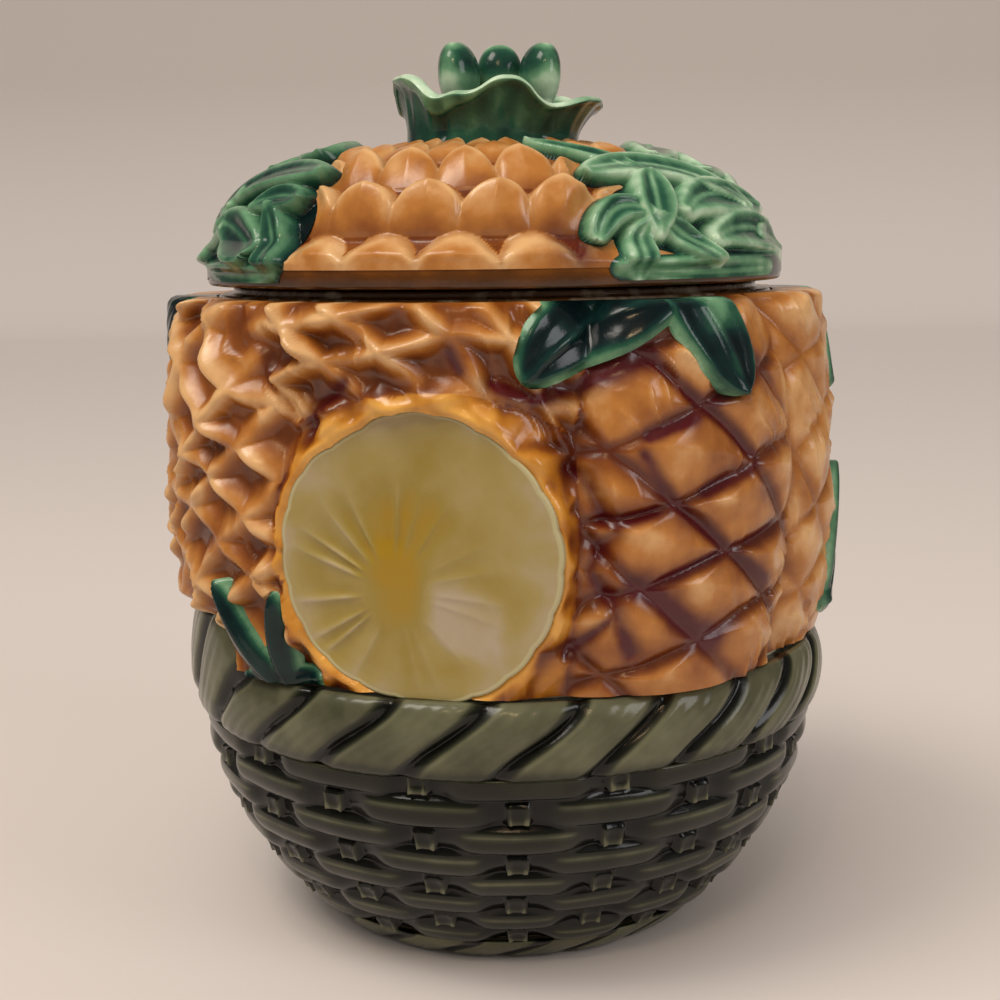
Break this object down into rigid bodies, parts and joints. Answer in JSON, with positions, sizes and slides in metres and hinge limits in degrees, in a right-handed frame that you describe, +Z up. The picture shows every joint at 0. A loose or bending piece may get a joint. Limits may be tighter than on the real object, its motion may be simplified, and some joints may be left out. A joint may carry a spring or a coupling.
{
  "type": "lidded jelly jar",
  "caption": "Glazed earthenware jelly jar: a basket bowl with a band of moulded pineapples and leaves, and a lift-off domed lid with a leafy crown knob.",
  "frame": {"origin": "middle of the foot at the table", "axes": "+Z up, -Y towards the front, where the cut pineapple slice faces; +X to the viewer's right"},
  "size_m": [0.1018, 0.1, 0.1322],
  "materials": {
    "inside_glaze": "glossy cream glaze over fired clay, bare clay under the foot",
    "basket_glaze": "glossy dark olive brown glaze, thin and paler on the ridges of the weave",
    "rope_glaze": "glossy olive brown glaze, dark where it pools between the strands",
    "fruit_glaze": "glossy amber glaze, ochre on the ridges and maroon in the grooves",
    "rind_glaze": "glossy orange amber glaze",
    "slice_glaze": "glossy yellow glaze with cream radial streaks",
    "leaf_glaze": "glossy dark green glaze, pale where it breaks over veins and edges",
    "lid_glaze": "glossy brown amber glaze"
  },
  "bodies": {
    "jar": {"vessel": "inside_glaze", "basket_weave": "basket_glaze", "foot_rope": "basket_glaze", "rim_rope": "rope_glaze", "crown_leaves_front": "leaf_glaze", "side_leaves_front": "leaf_glaze", "leaf_tuft_front": "leaf_glaze", "low_leaves_front": "leaf_glaze", "pineapple_slice_front": "slice_glaze", "half_pineapple_front": "rind_glaze", "tall_pineapple_front": "fruit_glaze", "leaning_pineapple_front": "fruit_glaze", "side_pineapple_front": "fruit_glaze", "upper_pineapple_front": "fruit_glaze", "crown_leaves_back": "leaf_glaze", "side_leaves_back": "leaf_glaze", "leaf_tuft_back": "leaf_glaze", "low_leaves_back": "leaf_glaze", "pineapple_slice_back": "slice_glaze", "half_pineapple_back": "rind_glaze", "tall_pineapple_back": "fruit_glaze", "leaning_pineapple_back": "fruit_glaze", "side_pineapple_back": "fruit_glaze", "upper_pineapple_back": "fruit_glaze"},
    "lid": {"lid_shell": "lid_glaze", "crown_cup": "leaf_glaze", "lid_pineapple_front": "fruit_glaze", "lid_pineapple_back": "fruit_glaze", "lid_leaves_right": "leaf_glaze", "lid_leaves_left": "leaf_glaze", "crown_petal_1": "leaf_glaze", "crown_petal_2": "leaf_glaze", "crown_petal_3": "leaf_glaze"}
  },
  "joints": [
    {"name": "lid_lift", "type": "slide", "parent": "jar", "child": "lid", "axis": [0, 0, 1], "range_m": [0, 0.08]}
  ]
}
